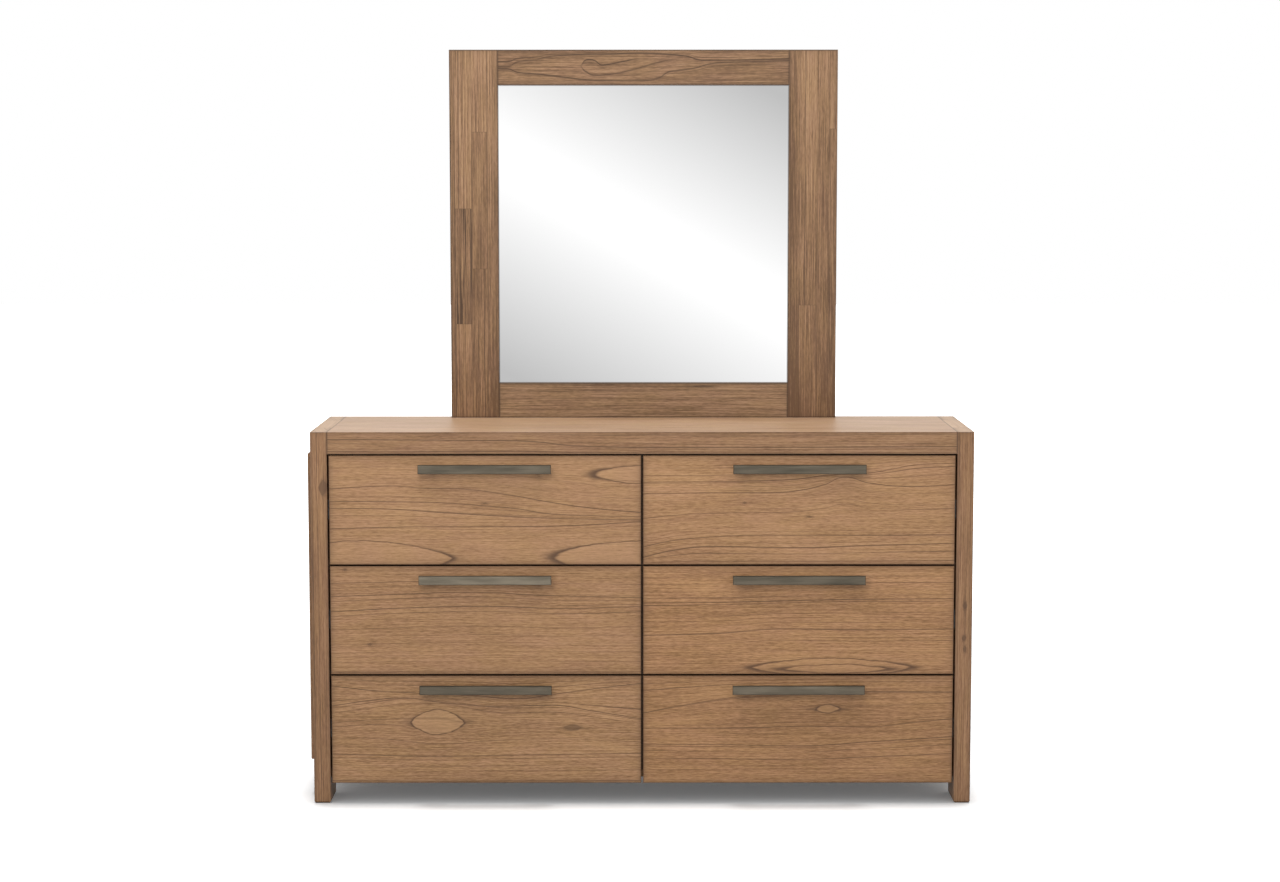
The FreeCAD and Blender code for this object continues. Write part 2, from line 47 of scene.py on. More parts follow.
# The lines of the grain.
ring_pitch = 0.013
ring_width = 0.0008
guide_line_width = 0.0011
eye_line_width = 0.0012
eye_tip_width = 0.0028
smear_reach = 0.042
# How far the grain's lines stray, in fine steps and at each eye, along it and across it.
ripple_height = 0.002
ragged_height = 0.0007
eye_ragged_along = 0.012
eye_ragged_across = 0.006
# Lines and shades at a board's edges and joints. The shade in the gaps beside a front and in the glass's
# rebate is painted shade, and so in part is the darkening along the edges.
burnish_widths = (0.009, 0.0018)
seam_width = 0.004
glue_line_width = 0.0007
side_shade_start = 0.0015
side_shade_width = 0.002
glass_lap = 0.0085
rebate_shade_width = 0.003
# Places nearer to each other than this count as one.
same_place = 0.0005

# How fine each noise of the grain is: along it, across it and in depth.
grain_scales = {
    "wave": (1.3, 5, 5), "ripple": (4, 12, 12), "ragged": (50, 90, 90), "broken": (3, 70, 70),
    "fibre": (6, 330, 330), "grit": (60, 500, 500), "streak": (2.6, 150, 150), "fleck": (60, 560, 560),
    "cloud": (2.4, 12, 12), "hue": (10, 36, 36), "eye along": (14, 160, 1), "eye across": (26, 40, 1),
    "eye wear": (16, 90, 1), "bunching": (1, 11, 1),
}
# The range of a noise over which a mark turns up, and its strength at the ends if not 0 and 1.
eye_wear = -0.16, 0.04, 0.65, 1
ring_breaks = -0.16, 0.06, 0.35, 1
guide_fading = -0.1, 0.06, 0.65, 1
fleck_range, hue_range, stripe_range, cap_range = (0.12, 0.22), (-0.14, 0.14), (0, 0.05), (-0.3, 0.3)
# How dark each kind of line on the wood is.
line_strengths = {"guide": 0.95, "outline": 0.9, "knot": 0.65, "rim": 0.4, "fleck": 0.28, "glue": 0.5,
                  "stripe": 0.85, "seam": 0.95}

# The camera, measured from the case, its focal length in the pixels of a 1280 x 882 picture.
image_width = 1280
focal_pixels = 2565.35
sensor_width = 36
camera_left_of_case = 0.0071
camera_before_case = 6.143
camera_height = 1.51225
camera_pitch = 0.10119
camera_yaw = 0.00037
camera_roll = 0.00031


# -------------------- colours
def linear(channel):
    share = channel / 255
    return share / 12.92 if share <= 0.04045 else ((share + 0.055) / 1.055) ** 2.4


def srgb(red, green, blue):
    """A screen colour as the linear one that Blender works in."""
    return (linear(red), linear(green), linear(blue), 1)


def tones(dark, middle, light, line):
    """The colours of one wood: its darkest, middle and lightest, and that of its dark lines."""
    return {"dark": srgb(*dark), "mid": srgb(*middle), "light": srgb(*light), "line": srgb(*line)}


def tinted(colours, tint):
    """The same wood with each of its colours multiplied."""
    return {name: (*(channel * share for channel, share in zip(colour, tint)), 1)
            for name, colour in colours.items()}


def shaded(colour, factor):
    return tuple(factor * channel for channel in colour[:3]) + (1,)


front_tones = tones((136, 100, 66), (173, 132, 94), (196, 154, 114), (84, 58, 40))
case_tones = tones((111, 80, 55), (150, 112, 79), (177, 137, 100), (74, 51, 35))
rail_tones = tones((118, 85, 58), (153, 116, 83), (178, 139, 104), (74, 51, 36))
# The top's tones are paler than the case's, partly painted light from above and painted sheen.
lit_top_tones = tones((152, 119, 90), (185, 151, 120), (206, 175, 145), (88, 64, 46))
frame_tones = tones((104, 77, 54), (147, 114, 84), (174, 139, 107), (64, 45, 31))
# A dark brown for the divider and stretchers, standing for the shadow in the gaps between the fronts: painted
# shade.
gap_shade_tones = tones((66, 47, 32), (84, 61, 42), (102, 76, 54), (46, 32, 22))
box_tones = tones((176, 146, 106), (204, 176, 136), (220, 196, 158), (150, 118, 80))
base_tones = tones((160, 134, 100), (190, 164, 128), (206, 184, 148), (140, 112, 80))
board_tones = tones((92, 69, 49), (112, 86, 62), (130, 101, 75), (76, 55, 39))
# A dark brown for painted shade, in the gaps beside the fronts and in the glass's rebate.
painted_shade_brown = srgb(54, 36, 23)
handle_colours = srgb(72, 67, 58), srgb(118, 109, 95)
painted_rim_shade_colour = srgb(44, 38, 30)
runner_colours = srgb(84, 86, 88), srgb(128, 131, 133)
zinc_colours = srgb(130, 130, 128), srgb(180, 180, 176)
yellowish = (1.01, 1.0, 0.94, 1)
pinkish = (1.01, 0.98, 1.0, 1)
white = (1, 1, 1, 1)


# -------------------- nodes
# The places of a mix node's factor and colours among its sockets.
mix_inputs, mix_output = (0, 6, 7), 2


class Nodes:
    """Adds nodes to a tree. A value is a number, a tuple or the output of another node."""

    def __init__(self, tree):
        self.tree = tree

    def feed(self, socket, value):
        if isinstance(value, bpy.types.NodeSocket):
            self.tree.links.new(value, socket)
        else:
            socket.default_value = value

    def add(self, kind, inputs=None, **settings):
        node = self.tree.nodes.new(kind)
        for name, value in settings.items():
            setattr(node, name, value)
        for name, value in (inputs or {}).items():
            self.feed(node.inputs[name], value)
        return node

    def math(self, operation, *values, clamp=False):
        node = self.add("ShaderNodeMath", operation=operation, use_clamp=clamp)
        for socket, value in zip(node.inputs, values):
            self.feed(socket, value)
        return node.outputs[0]

    def chain(self, operation, values):
        total = values[0]
        for value in values[1:]:
            total = self.math(operation, total, value)
        return total

    def plus(self, *values):
        return self.chain("ADD", values)

    def minus(self, a, b):
        return self.math("SUBTRACT", a, b)

    def times(self, *values):
        return self.chain("MULTIPLY", values)

    def largest(self, *values):
        return self.chain("MAXIMUM", values)

    def spread(self, value, low, high, out_low=0, out_high=1, smooth=False):
        """value from low to high, turned into out_low to out_high, and held there outside."""
        kind = "SMOOTHSTEP" if smooth else "LINEAR"
        inputs = {"Value": value, "From Min": low, "From Max": high, "To Min": out_low, "To Max": out_high}
        return self.add("ShaderNodeMapRange", inputs, interpolation_type=kind, clamp=True).outputs["Result"]

    def bell(self, distance, width):
        """1 where distance is 0, falling to nothing within about twice the width."""
        ratio = self.math("DIVIDE", distance, width)
        return self.math("EXPONENT", self.times(-1, ratio, ratio))

    def point(self, x, y, z):
        return self.add("ShaderNodeCombineXYZ", {"X": x, "Y": y, "Z": z}).outputs[0]

    def axes(self, vector):
        node = self.add("ShaderNodeSeparateXYZ", {"Vector": vector})
        return {axis: node.outputs[axis.upper()] for axis in "xyz"}

    def noise(self, vector, scales, detail=2, roughness=0.5):
        """Noise about 0, from -0.5 to 0.5, with its own scale along each axis."""
        spot = self.add("ShaderNodeVectorMath", {0: vector, 1: scales}, operation="MULTIPLY").outputs[0]
        inputs = {"Vector": spot, "Scale": 1, "Detail": detail, "Roughness": roughness}
        return self.minus(self.add("ShaderNodeTexNoise", inputs).outputs[0], 0.5)

    def random(self, number):
        return self.add("ShaderNodeTexWhiteNoise", {"W": number}, noise_dimensions="1D").outputs["Value"]

    def mix(self, factor, a, b, blend="MIX"):
        node = self.add("ShaderNodeMix", data_type="RGBA", blend_type=blend)
        for socket, value in zip(mix_inputs, (factor, a, b)):
            self.feed(node.inputs[socket], value)
        return node.outputs[mix_output]

    def curve(self, position, points):
        """A smooth curve through given points from 0 to 1 on both axes."""
        node = self.add("ShaderNodeFloatCurve", {"Factor": 1, "Value": position})
        line = node.mapping.curves[0]
        for extra in points[2:]:
            line.points.new(*extra)
        for spot, place in zip(line.points, sorted(points)):
            spot.location = place
            spot.handle_type = "AUTO_CLAMPED"
        node.mapping.update()
        return node.outputs[0]

    def shade(self, inputs):
        """Feed the material's Principled BSDF."""
        for name, value in inputs.items():
            self.feed(self.tree.nodes["Principled BSDF"].inputs[name], value)

    def filled(self, group, inputs):
        node = self.add("ShaderNodeGroup", node_tree=group)
        for name, value in inputs.items():
            self.feed(node.inputs[name], value)
        return node.outputs


def new_material(name, empty=False):
    """A material with its nodes: a Principled BSDF and its output, or none."""
    material = bpy.data.materials.new(name)
    material.use_nodes = True
    if empty:
        material.node_tree.nodes.clear()
    return material, Nodes(material.node_tree)


def new_group(name, inputs, outputs):
    tree = bpy.data.node_groups.new(name, "ShaderNodeTree")
    for label, kind in inputs:
        tree.interface.new_socket(label, in_out="INPUT", socket_type=kind)
    for label in outputs:
        tree.interface.new_socket(label, in_out="OUTPUT", socket_type="NodeSocketFloat")
    return Nodes(tree)


number, place = "NodeSocketFloat", "NodeSocketVector"

# An eye's outline is |u| ** taper + |v| ** roundness = 1: the lower they are, the sharper its tips.
eye_taper = 1.8
sharp, blunt = 1.3, 1.8
# How much of the rings' bend an eye takes up, and how far out, in half sizes.
rings_parted = 0.88
parting_reach = 1.5
# Where an eye's tips begin and are full, as shares of its half length, the widths of a smear at its
# ends, and how softly its inside and its smears begin.
tip_start, tip_full = 0.6, 0.9
smear_widths = (0.32, 0.1)
eye_softness = 0.1


def make_eye_group():
    """An eye in the grain: a closed line, a dark smear past each tip, and the rings bent round it."""
    labels = ("Along", "Height", "Ring height", "Middle along", "Middle height", "Middle ring", "Half length",
              "Half height", "Roundness")
    outputs = ("Ring height", "Outline", "Inside", "Smear")
    n = new_group("grain_eye", [(label, number) for label in labels], outputs)
    given = n.add("NodeGroupInput").outputs
    spot = n.point(given["Along"], given["Height"], 0)
    ragged_along = n.times(eye_ragged_along, n.noise(spot, grain_scales["eye along"]))
    ragged_across = n.times(eye_ragged_across, n.noise(spot, grain_scales["eye across"]))
    along = n.plus(given["Along"], ragged_along, n.times(-1, given["Middle along"]))
    height = n.minus(given["Height"], given["Middle height"])
    u = n.math("ABSOLUTE", n.math("DIVIDE", along, given["Half length"]))
    v = n.math("ABSOLUTE", n.math("DIVIDE", n.plus(height, ragged_across), given["Half height"]))
    radius = n.math("SQRT", n.plus(n.times(u, u), n.times(v, v)))
    parted = n.minus(1, n.times(rings_parted, n.bell(radius, parting_reach)))
    outward = n.minus(n.plus(n.math("POWER", u, eye_taper), n.math("POWER", v, given["Roundness"])), 1)
    near_tip = n.times(eye_tip_width, n.spread(u, tip_start, 1), n.math("GREATER_THAN", outward, 0))
    thickness = n.math("DIVIDE", n.plus(eye_line_width, near_tip), given["Half height"])
    past_tip = n.math("DIVIDE", n.minus(u, 1), n.math("DIVIDE", smear_reach, given["Half length"]))
    smear = n.times(n.bell(v, n.spread(past_tip, 0, 1, *smear_widths)), n.spread(past_tip, -eye_softness, 0),
                    n.spread(past_tip, 0, 1, 1, 0))
    rings = n.times(parted, n.minus(given["Ring height"], given["Middle ring"]))
    line = n.bell(outward, n.times(given["Roundness"], thickness))
    worn = n.spread(n.noise(spot, grain_scales["eye wear"]), *eye_wear)
    results = {
        "Ring height": n.plus(given["Middle ring"], rings),
        "Outline": n.times(line, n.largest(worn, n.spread(u, tip_start, tip_full))),
        "Inside": n.spread(outward, 0, -eye_softness),
        "Smear": n.times(smear, n.math("GREATER_THAN", outward, 0)),
    }
    n.add("NodeGroupOutput", results)
    return n.tree


# How far one seed lies from the next across the grain, how much the rings lean with depth, how
# unevenly they crowd, how few of them are strong, and where a ring's line can lie within it.
seed_step = 0.37
ring_lean = 0.3
ring_bunching = 3
ring_rarity = 1.1
ring_places = 0.25, 0.75


def make_grain_group():
    """The parts of a grain at a point (along, height across the grain, depth).

    The rings follow the ring height, and the fibres run straight."""
    inputs = [("Point", place), ("Ring height", number), ("Waviness", number), ("Seed", number)]
    n = new_group("wood_grain", inputs, ("Ring", "Fibre", "Grit", "Streak", "Fleck", "Cloud", "Hue"))
    given = n.add("NodeGroupInput").outputs
    seed = given["Seed"]
    shift = n.point(seed, n.times(seed, seed_step), seed)
    spot = n.add("ShaderNodeVectorMath", {0: given["Point"], 1: shift}).outputs["Vector"]
    axes = n.axes(spot)
    wave = n.times(given["Waviness"], n.noise(spot, grain_scales["wave"]))
    ripple = n.times(ripple_height, n.noise(spot, grain_scales["ripple"]))
    ragged = n.times(ragged_height, n.noise(spot, grain_scales["ragged"]))
    slope = n.plus(n.times(ring_lean, axes["z"]), wave)
    fibre = n.point(axes["x"], n.plus(axes["y"], slope), axes["z"])
    height = n.plus(given["Ring height"], n.times(seed, seed_step), slope, ripple, ragged)
    grain = n.point(axes["x"], height, axes["z"])
    bunching = n.times(ring_bunching, n.noise(n.point(0, height, 0), grain_scales["bunching"]))
    phase = n.plus(n.math("DIVIDE", height, ring_pitch), bunching)
    ring = n.math("FLOOR", phase)
    middle = n.spread(n.random(ring), 0, 1, *ring_places)
    strength = n.math("POWER", n.random(n.plus(ring, 0.5)), ring_rarity)
    line = n.bell(n.times(ring_pitch, n.minus(n.math("FRACT", phase), middle)), ring_width)
    broken = n.spread(n.noise(grain, grain_scales["broken"]), *ring_breaks)
    results = {
        "Ring": n.times(line, strength, broken),
        "Fibre": n.noise(fibre, grain_scales["fibre"], roughness=0.6),
        "Grit": n.noise(fibre, grain_scales["grit"], roughness=0.6),
        "Streak": n.noise(grain, grain_scales["streak"], detail=3, roughness=0.6),
        "Fleck": n.spread(n.noise(fibre, grain_scales["fleck"]), *fleck_range),
        "Cloud": n.noise(grain, grain_scales["cloud"]),
        "Hue": n.spread(n.noise(grain, grain_scales["hue"]), *hue_range),
    }
    n.add("NodeGroupOutput", results)
    return n.tree


eye_group = make_eye_group()
grain_group = make_grain_group()


# -------------------- wood
def from_edge(n, axes, box, axis):
    """How far a point lies from the nearer end of a board along one axis."""
    index = "xyz".index(axis)
    middle = (box[0][index] + box[1][index]) / 2
    half = (box[1][index] - box[0][index]) / 2
    return n.minus(half, n.math("ABSOLUTE", n.minus(axes[axis], middle)))


def edge_distance(n, axes, box):
    """How far a point on a board's face lies from that face's nearest edge."""
    away = [from_edge(n, axes, box, axis) for axis in "xyz"]
    low, high = n.math("MINIMUM", away[0], away[1]), n.math("MAXIMUM", away[0], away[1])
    return n.math("MAXIMUM", low, n.math("MINIMUM", high, away[2]))


class Board:
    """Where a board lies: its lowest and highest places along its grain and across it."""

    def __init__(self, box, along, across):
        first, last = "xyz".index(along), "xyz".index(across)
        self.start, self.length = box[0][first], box[1][first] - box[0][first]
        self.low, self.height = box[0][last], box[1][last] - box[0][last]


# The shares of a board's length over which a guide line that is drawn in part appears and fades.
line_appears, line_fades = 0.01, 0.05


def level(guide):
    """The mean height of a guide, which is where its line lies once it is straight."""
    return sum(height for _, height in guide) / len(guide)


def follow_guides(n, along, height, board, guides, drawn, line_width):
    """The height across the grain, bent so that each guide line becomes one straight ring.

    drawn holds, by a guide's number, the shares of the board's length that its line shows between."""
    share_along = n.spread(along, board.start, board.start + board.length)
    share = n.math("DIVIDE", n.minus(height, board.low), board.height)
    edges = [0.0] + [n.curve(share_along, guide) for guide in guides] + [1.0]
    steps = [0.0] + [level(guide) for guide in guides] + [1.0]
    bent = n.plus(*[n.spread(share, low, high, 0, end - start)
                    for low, high, start, end in zip(edges, edges[1:], steps, steps[1:])])
    lines = [n.bell(n.times(board.height, n.minus(share, edge)), line_width) for edge in edges[1:-1]]
    for index, (start, end) in drawn.items():
        shown = n.times(n.spread(share_along, start, start + line_appears),
                        n.spread(share_along, end, end - line_fades))
        lines[index] = n.times(lines[index], shown)
    return n.plus(board.low, n.times(board.height, bent)), n.largest(*lines)


def between(points, position):
    """The height of a line through points at a position along it."""
    for (x0, y0), (x1, y1) in zip(points, points[1:]):
        if position <= x1:
            return y0 + (y1 - y0) * (position - x0) / (x1 - x0)
    return points[-1][1]


def ring_share(guides, share_along, share_across):
    """Where follow_guides puts a place on a board, in shares of the board's height."""
    edges = [0.0] + [between(guide, share_along) for guide in guides] + [1.0]
    steps = [0.0] + [level(guide) for guide in guides] + [1.0]
    for low, high, start, end in zip(edges, edges[1:], steps, steps[1:]):
        if share_across <= high:
            return start + (end - start) * (share_across - low) / (high - low)
    return share_across


def part_round_eyes(n, along, height, rings, board, eyes, guides):
    """The rings' height parted round each eye, and the eyes' outlines, insides and smears.

    An eye is (share along, share across, half length, half height, roundness, paleness, smear)."""
    outline, inside, smear = 0, 0, 0
    for share_along, share_across, half_length, half_height, roundness, paleness, darkness in eyes:
        eye = n.filled(eye_group, {
            "Along": along,
            "Height": height,
            "Ring height": rings,
            "Middle along": board.start + share_along * board.length,
            "Middle height": board.low + share_across * board.height,
            "Middle ring": board.low + ring_share(guides, share_along, share_across) * board.height,
            "Half length": half_length,
            "Half height": half_height,
            "Roundness": roundness,
        })
        rings = eye["Ring height"]
        outline = n.largest(outline, eye["Outline"])
        inside = n.largest(inside, n.times(paleness, eye["Inside"]))
        smear = n.largest(smear, n.times(darkness, eye["Smear"]))
    return rings, outline, inside, smear


# How many block numbers each strip of a laminated board has to itself.
blocks_per_strip = 5


def laminate(n, along, height, board, strips):
    """A number for each block of a laminated board, and the glue lines between the blocks.

    A strip is (its width, the places along it where one block meets the next). The outer strips
    reach past the board, so that its side faces belong to them."""
    widths = [width for width, _ in strips]
    inner_edges = [board.low + sum(widths[:index]) for index in range(1, len(widths))]
    edges = [board.low - 1, *inner_edges, board.low + board.height + 1]
    block, glue = 0, 0
    for index, (_, joints) in enumerate(strips):
        within = n.times(n.math("GREATER_THAN", height, edges[index]),
                         n.math("LESS_THAN", height, edges[index + 1]))
        later = [n.math("GREATER_THAN", along, joint) for joint in joints]
        block = n.plus(block, n.times(within, n.plus(1 + blocks_per_strip * index, *later)))
        for joint in joints:
            glue = n.largest(glue, n.times(within, n.bell(n.minus(along, joint), glue_line_width)))
    for edge in inner_edges:
        glue = n.largest(glue, n.bell(n.minus(height, edge), glue_line_width))
    return block, glue


plain_figure = {"guides": (), "eyes": (), "knots": (), "drawn": {}, "line_width": guide_line_width}
# How much of its kind each board shows. A block's tone differs from the next by up to "blocks",
# and "striped" is the number of a block with bold dark stripes.
usual_look = {"waviness": 0.01, "ring": 0.95, "contrast": 1.0, "fibre": 1.2, "grit": 1.7, "shade": 0.0,
              "foot": 0.0, "burnish": 0.0, "sides": 0.0, "blocks": 0.35, "striped": -1, "roughness": 0.5,
              "gloss": 0.4}
# How far apart the seeds of two blocks are, and how dark a block with stripes is.
block_seed_step = 7.3
stripe_shade = -0.05
# How strongly the long streaks and the broad clouds vary the tone.
streak_weight, cloud_weight = 0.6, 0.7
# How much paler the inside of an eye can be, and how dark the smears at a knot are.
eye_paleness, knot_smear_darkness = 0.6, 0.4
wood_bump = {"Strength": 0.25, "Distance": 0.0006}
wood_roughness_variation = 0.12


def wood(name, box, colours, grain, figure=plain_figure, seams="", strips=(), seed=0.0, cap=None, **changes):
    """A stained wood for one board. grain is the axis it runs along and the axis it crosses.

    seams names the axes at whose ends dark lines show, cap holds the paler tones of the upper end, painted
    top light, and changes are the parts of its look that aren't the usual ones."""
    look, figure = {**usual_look, **changes}, {**plain_figure, **figure}
    along_axis, across_axis = grain
    depth_axis = ({"x", "y", "z"} - set(grain)).pop()
    material, n = new_material(name)
    axes = n.axes(n.add("ShaderNodeTexCoord").outputs["Object"])
    along, height = axes[along_axis], axes[across_axis]
    board = Board(box, along_axis, across_axis)
    rings, guided, glue, striped, shade = height, 0, 0, 0, look["shade"]
    if strips:
        block, glue = laminate(n, along, height, board, strips)
        seed = n.plus(seed, n.times(block_seed_step, block))
        striped = n.math("COMPARE", block, look["striped"], 0.5)
        shade = n.plus(shade, n.times(look["blocks"], n.minus(n.random(block), 0.5)),
                       n.times(stripe_shade, striped))
    # Painted shade: the board grows darker towards its lower end.
    if look["foot"]:
        shade = n.plus(shade, n.spread(along, board.start, board.start + board.length, -look["foot"], 0))
    guides = figure["guides"]
    if guides:
        rings, guided = follow_guides(n, along, height, board, guides, figure["drawn"], figure["line_width"])
    rings, outline, pale, smear = part_round_eyes(n, along, height, rings, board, figure["eyes"], guides)
    knots = [(*knot, sharp, 1, knot_smear_darkness) for knot in figure["knots"]]
    rings, rim, knot, knot_smear = part_round_eyes(n, along, height, rings, board, knots, guides)

    parts = n.filled(grain_group, {
        "Point": n.point(along, height, axes[depth_axis]),
        "Ring height": rings,
        "Waviness": look["waviness"],
        "Seed": seed,
    })
    varied = n.plus(n.times(look["fibre"], parts["Fibre"]), n.times(look["grit"], parts["Grit"]),
                    n.times(streak_weight, parts["Streak"]), n.times(cloud_weight, parts["Cloud"]))
    ramp = n.add("ShaderNodeValToRGB", {"Fac": n.plus(0.5, n.times(look["contrast"], varied), shade)})
    ramp.color_ramp.elements[0].color = colours["dark"]
    ramp.color_ramp.elements[1].color = colours["light"]
    ramp.color_ramp.elements.new(0.5).color = colours["mid"]
    colour = n.mix(n.times(pale, eye_paleness), ramp.outputs["Color"], colours["light"])
    colour = n.mix(1, colour, n.mix(parts["Hue"], yellowish, pinkish), blend="MULTIPLY")
    # Painted top light: the board's upper end takes the top's paler tones.
    if cap:
        capped = n.mix(n.spread(parts["Fibre"], *cap_range), cap["mid"], cap["light"])
        colour = n.mix(n.math("GREATER_THAN", axes["z"], box[1].z - same_place), colour, capped)

    faded = n.spread(parts["Streak"], *guide_fading)
    stripes = n.spread(parts["Streak"], *stripe_range)
    dark = line_strengths
    lines = n.largest(
        n.times(look["ring"], parts["Ring"]), n.times(dark["guide"], guided, faded),
        n.times(dark["outline"], outline), n.times(dark["knot"], knot), n.times(dark["rim"], rim), knot_smear,
        smear, n.times(dark["fleck"], parts["Fleck"]), n.times(dark["glue"], glue),
        n.times(dark["stripe"], striped, stripes))
    for axis in seams:
        away = from_edge(n, axes, box, axis)
        beside = n.math("GREATER_THAN", away, same_place / 2)
        seam = n.spread(away, 0, seam_width, dark["seam"], 0, smooth=True)
        lines = n.largest(lines, n.times(beside, seam))
    colour = n.mix(lines, colour, colours["line"])
    # Darker along every edge of a board: partly a burnished finish, partly painted shade.
    if look["burnish"]:
        edge = edge_distance(n, axes, box)
        wide, narrow = (n.math("EXPONENT", n.math("DIVIDE", edge, -width)) for width in burnish_widths)
        colour = n.mix(n.times(look["burnish"], n.plus(wide, narrow)), colour, colours["line"])
    # Painted shade: just behind a front's face its sides turn dark brown, so that the gaps between the fronts
    # read as shadow.
    if look["sides"]:
        behind = n.minus(axes[depth_axis], box[0]["xyz".index(depth_axis)] + side_shade_start)
        colour = n.mix(n.spread(behind, 0, side_shade_width, 0, look["sides"]), colour, painted_shade_brown)

    relief = n.minus(n.times(0.5, parts["Grit"]), n.plus(n.times(0.5, parts["Fleck"]), n.times(0.5, lines)))
    bump = n.add("ShaderNodeBump", {**wood_bump, "Height": relief})
    roughness = n.plus(look["roughness"], n.times(wood_roughness_variation, parts["Streak"]))
    n.shade({"Base Color": colour, "Roughness": roughness, "Normal": bump.outputs["Normal"],
             "Specular IOR Level": look["gloss"]})
    return material


def shown_between(node, left, right):
    """The box of a board without the tongues that the uprights at its ends hide."""
    low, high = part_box(node)
    return Vector((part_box(left)[1].x, low.y, low.z)), Vector((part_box(right)[0].x, high.y, high.z))


def paint(node, material):
    """Give a CAD node its finish."""
    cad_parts[node].material_slots[0].material = material


# -------------------- metal and glass
# How fine the brushed lines are along and across themselves, and how fine the patina is.
brushed_scales = 14, 900
patina_scales = (9, 60, 60)
# The painted shade and dark reflection along a handle's edges: its width and strength.
metal_rim_width = 0.0022
metal_rim_darkness = 0.6
metal_bump = {"Strength": 0.15, "Distance": 0.0002}
# How strongly the brushed lines and the patina vary the tone, and the patina the roughness.
brushed_weight, patina_weight, patina_roughness = 0.9, 1.6, 0.2


def metal(name, colours, roughness, brushed, box=None):
    """A metal with fine lines along one axis, a faint patina and, given its box, darker edges: painted shade
    and reflection on the bevels.
    """
    material, n = new_material(name)
    position = n.add("ShaderNodeTexCoord").outputs["Object"]
    lines = n.noise(position, tuple(brushed_scales[axis != brushed] for axis in "xyz"), detail=3)
    patina = n.noise(position, patina_scales, detail=3)
    varied = n.plus(n.times(brushed_weight, lines), n.times(patina_weight, patina))
    colour = n.mix(n.math("ADD", 0.5, varied, clamp=True), *colours)
    # Painted shade and reflection: darker along the edges.
    if box:
        edge = edge_distance(n, n.axes(position), box)
        rim = n.spread(edge, 0, metal_rim_width, metal_rim_darkness, 0, smooth=True)
        colour = n.mix(rim, colour, painted_rim_shade_colour)
    bump = n.add("ShaderNodeBump", {**metal_bump, "Height": lines})
    uneven = n.plus(roughness, n.times(patina_roughness, patina))
    n.shade({"Base Color": colour, "Roughness": uneven, "Normal": bump.outputs["Normal"], "Metallic": 1})
    return material


# How dark the painted rebate shadow along the glass's edge is.
rebate_shade = 0.8
haze_scales = (6, 6, 6)
haze_range = -0.3, 0.3
haze_roughness = 0.004, 0.02


def silvered(name, box):
    """A mirror with a painted shadow along its edge, where the frame's rebate is."""
    material, n = new_material(name)
    position = n.add("ShaderNodeTexCoord").outputs["Object"]
    edge = edge_distance(n, n.axes(position), box)
    dimmed = n.spread(edge, glass_lap, glass_lap + rebate_shade_width, rebate_shade, 0)
    colour = n.mix(dimmed, white, painted_shade_brown)
    haze = n.noise(position, haze_scales)
    roughness = n.spread(haze, *haze_range, *haze_roughness)
    n.shade({"Base Color": colour, "Roughness": roughness, "Metallic": 1})
    return material


